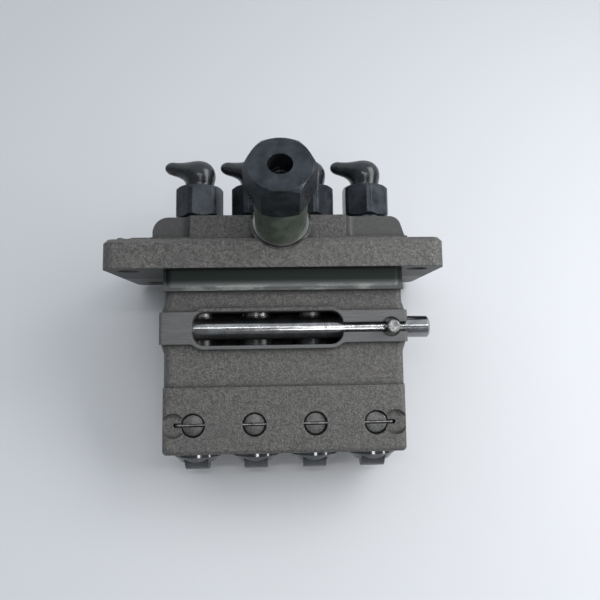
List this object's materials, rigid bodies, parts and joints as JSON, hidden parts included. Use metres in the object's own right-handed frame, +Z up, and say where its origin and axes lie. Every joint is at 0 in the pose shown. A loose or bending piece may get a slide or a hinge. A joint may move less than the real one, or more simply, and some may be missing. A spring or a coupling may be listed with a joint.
{
  "type": "diesel injection pump",
  "caption": "Flange-mounted in-line diesel injection pump: iron housing, row of roller tappets below, control rack with toothed sleeves behind a window, capped delivery outlets and side fuel inlet",
  "frame": {"origin": "centre of the plunger row, on the flange's mounting face", "axes": "+X along the plunger row to the free end of the control rack, -Y to the front with the fuel inlet, +Z up through the delivery outlets"},
  "size_m": [0.1268, 0.0993, 0.1198],
  "materials": {
    "casting": "bare grey iron, sand-cast faces with a coarse grain, machined faces smoother",
    "black_oxide": "oil-blackened steel with bright worn edges",
    "olive_plate": "olive chromate over zinc, satin",
    "washer_metal": "soft aluminium sealing washer",
    "bright_steel": "ground bright steel",
    "hard_steel": "hardened and ground steel, lightly oiled",
    "spring_steel": "oil-tempered spring wire",
    "copper": "annealed copper, dull",
    "rubber": "moulded black rubber, satin"
  },
  "bodies": {
    "pump_body": {"housing": "casting", "inlet_washer": "washer_metal", "inlet_spacer": "olive_plate", "inlet_union": "black_oxide", "gallery_plugs": "black_oxide", "barrels": "hard_steel", "delivery_seats": "hard_steel", "delivery_gaskets": "copper", "upper_spring_seats": "hard_steel", "guide_pins": "hard_steel", "locking_wire": "bright_steel", "delivery_holder_1": "black_oxide", "delivery_holder_2": "black_oxide", "delivery_holder_3": "black_oxide", "delivery_holder_4": "black_oxide", "plunger_spring_1": "spring_steel", "plunger_spring_2": "spring_steel", "plunger_spring_3": "spring_steel", "plunger_spring_4": "spring_steel", "delivery_spring_1": "spring_steel", "delivery_spring_2": "spring_steel", "delivery_spring_3": "spring_steel", "delivery_spring_4": "spring_steel"},
    "rack": {"control_rack": "bright_steel", "rack_pin": "bright_steel"},
    "sleeve_1": {"control_sleeve_1": "hard_steel"},
    "lifter_1": {"tappet_1": "hard_steel", "roller_pin_1": "hard_steel", "lower_spring_seat_1": "hard_steel"},
    "cam_roller_1": {"roller_1": "bright_steel"},
    "element_1": {"plunger_1": "hard_steel"},
    "valve_1": {"delivery_valve_1": "hard_steel"},
    "cap_1": {"rubber_cap_1": "rubber"},
    "sleeve_2": {"control_sleeve_2": "hard_steel"},
    "lifter_2": {"tappet_2": "hard_steel", "roller_pin_2": "hard_steel", "lower_spring_seat_2": "hard_steel"},
    "cam_roller_2": {"roller_2": "bright_steel"},
    "element_2": {"plunger_2": "hard_steel"},
    "valve_2": {"delivery_valve_2": "hard_steel"},
    "cap_2": {"rubber_cap_2": "rubber"},
    "sleeve_3": {"control_sleeve_3": "hard_steel"},
    "lifter_3": {"tappet_3": "hard_steel", "roller_pin_3": "hard_steel", "lower_spring_seat_3": "hard_steel"},
    "cam_roller_3": {"roller_3": "bright_steel"},
    "element_3": {"plunger_3": "hard_steel"},
    "valve_3": {"delivery_valve_3": "hard_steel"},
    "cap_3": {"rubber_cap_3": "rubber"},
    "sleeve_4": {"control_sleeve_4": "hard_steel"},
    "lifter_4": {"tappet_4": "hard_steel", "roller_pin_4": "hard_steel", "lower_spring_seat_4": "hard_steel"},
    "cam_roller_4": {"roller_4": "bright_steel"},
    "element_4": {"plunger_4": "hard_steel"},
    "valve_4": {"delivery_valve_4": "hard_steel"},
    "cap_4": {"rubber_cap_4": "rubber"}
  },
  "joints": [
    {"name": "rack_slide", "type": "slide", "parent": "pump_body", "child": "rack", "axis": [1, 0, 0], "range_m": [-0.012, 0.004]},
    {"name": "sleeve_turn_1", "type": "hinge", "parent": "pump_body", "child": "sleeve_1", "pos_m": [-0.033, 0, -0.02225], "axis": [0, 0, 1], "range_deg": [-80.87, 26.96]},
    {"name": "lift_1", "type": "slide", "parent": "pump_body", "child": "lifter_1", "axis": [0, 0, 1], "range_m": [0, 0.007], "stiffness_N_per_m": 4000, "springref_m": -0.004, "deforming": ["plunger_spring_1"]},
    {"name": "roller_turn_1", "type": "hinge", "parent": "lifter_1", "child": "cam_roller_1", "pos_m": [-0.033, 0, -0.0676], "axis": [1, 0, 0], "continuous": true},
    {"name": "plunger_turn_1", "type": "hinge", "parent": "lifter_1", "child": "element_1", "pos_m": [-0.033, 0, -0.03], "axis": [0, 0, 1], "range_deg": [-80.87, 26.96]},
    {"name": "valve_lift_1", "type": "slide", "parent": "pump_body", "child": "valve_1", "axis": [0, 0, 1], "range_m": [0, 0.002], "stiffness_N_per_m": 600, "springref_m": -0.001, "deforming": ["delivery_spring_1"]},
    {"name": "cap_pull_1", "type": "slide", "parent": "pump_body", "child": "cap_1", "axis": [0, 0, 1], "range_m": [0, 0.012]},
    {"name": "sleeve_turn_2", "type": "hinge", "parent": "pump_body", "child": "sleeve_2", "pos_m": [-0.011, 0, -0.02225], "axis": [0, 0, 1], "range_deg": [-80.87, 26.96]},
    {"name": "lift_2", "type": "slide", "parent": "pump_body", "child": "lifter_2", "axis": [0, 0, 1], "range_m": [0, 0.007], "stiffness_N_per_m": 4000, "springref_m": -0.004, "deforming": ["plunger_spring_2"]},
    {"name": "roller_turn_2", "type": "hinge", "parent": "lifter_2", "child": "cam_roller_2", "pos_m": [-0.011, 0, -0.0676], "axis": [1, 0, 0], "continuous": true},
    {"name": "plunger_turn_2", "type": "hinge", "parent": "lifter_2", "child": "element_2", "pos_m": [-0.011, 0, -0.03], "axis": [0, 0, 1], "range_deg": [-80.87, 26.96]},
    {"name": "valve_lift_2", "type": "slide", "parent": "pump_body", "child": "valve_2", "axis": [0, 0, 1], "range_m": [0, 0.002], "stiffness_N_per_m": 600, "springref_m": -0.001, "deforming": ["delivery_spring_2"]},
    {"name": "cap_pull_2", "type": "slide", "parent": "pump_body", "child": "cap_2", "axis": [0, 0, 1], "range_m": [0, 0.012]},
    {"name": "sleeve_turn_3", "type": "hinge", "parent": "pump_body", "child": "sleeve_3", "pos_m": [0.011, 0, -0.02225], "axis": [0, 0, 1], "range_deg": [-80.87, 26.96]},
    {"name": "lift_3", "type": "slide", "parent": "pump_body", "child": "lifter_3", "axis": [0, 0, 1], "range_m": [0, 0.007], "stiffness_N_per_m": 4000, "springref_m": -0.004, "deforming": ["plunger_spring_3"]},
    {"name": "roller_turn_3", "type": "hinge", "parent": "lifter_3", "child": "cam_roller_3", "pos_m": [0.011, 0, -0.0676], "axis": [1, 0, 0], "continuous": true},
    {"name": "plunger_turn_3", "type": "hinge", "parent": "lifter_3", "child": "element_3", "pos_m": [0.011, 0, -0.03], "axis": [0, 0, 1], "range_deg": [-80.87, 26.96]},
    {"name": "valve_lift_3", "type": "slide", "parent": "pump_body", "child": "valve_3", "axis": [0, 0, 1], "range_m": [0, 0.002], "stiffness_N_per_m": 600, "springref_m": -0.001, "deforming": ["delivery_spring_3"]},
    {"name": "cap_pull_3", "type": "slide", "parent": "pump_body", "child": "cap_3", "axis": [0, 0, 1], "range_m": [0, 0.012]},
    {"name": "sleeve_turn_4", "type": "hinge", "parent": "pump_body", "child": "sleeve_4", "pos_m": [0.033, 0, -0.02225], "axis": [0, 0, 1], "range_deg": [-80.87, 26.96]},
    {"name": "lift_4", "type": "slide", "parent": "pump_body", "child": "lifter_4", "axis": [0, 0, 1], "range_m": [0, 0.007], "stiffness_N_per_m": 4000, "springref_m": -0.004, "deforming": ["plunger_spring_4"]},
    {"name": "roller_turn_4", "type": "hinge", "parent": "lifter_4", "child": "cam_roller_4", "pos_m": [0.033, 0, -0.0676], "axis": [1, 0, 0], "continuous": true},
    {"name": "plunger_turn_4", "type": "hinge", "parent": "lifter_4", "child": "element_4", "pos_m": [0.033, 0, -0.03], "axis": [0, 0, 1], "range_deg": [-80.87, 26.96]},
    {"name": "valve_lift_4", "type": "slide", "parent": "pump_body", "child": "valve_4", "axis": [0, 0, 1], "range_m": [0, 0.002], "stiffness_N_per_m": 600, "springref_m": -0.001, "deforming": ["delivery_spring_4"]},
    {"name": "cap_pull_4", "type": "slide", "parent": "pump_body", "child": "cap_4", "axis": [0, 0, 1], "range_m": [0, 0.012]}
  ],
  "couplings": [
    {"joint": "sleeve_turn_1", "follows": "rack_slide", "rad_per_m": 117.6},
    {"joint": "plunger_turn_1", "follows": "rack_slide", "rad_per_m": 117.6},
    {"joint": "sleeve_turn_2", "follows": "rack_slide", "rad_per_m": 117.6},
    {"joint": "plunger_turn_2", "follows": "rack_slide", "rad_per_m": 117.6},
    {"joint": "sleeve_turn_3", "follows": "rack_slide", "rad_per_m": 117.6},
    {"joint": "plunger_turn_3", "follows": "rack_slide", "rad_per_m": 117.6},
    {"joint": "sleeve_turn_4", "follows": "rack_slide", "rad_per_m": 117.6},
    {"joint": "plunger_turn_4", "follows": "rack_slide", "rad_per_m": 117.6}
  ]
}
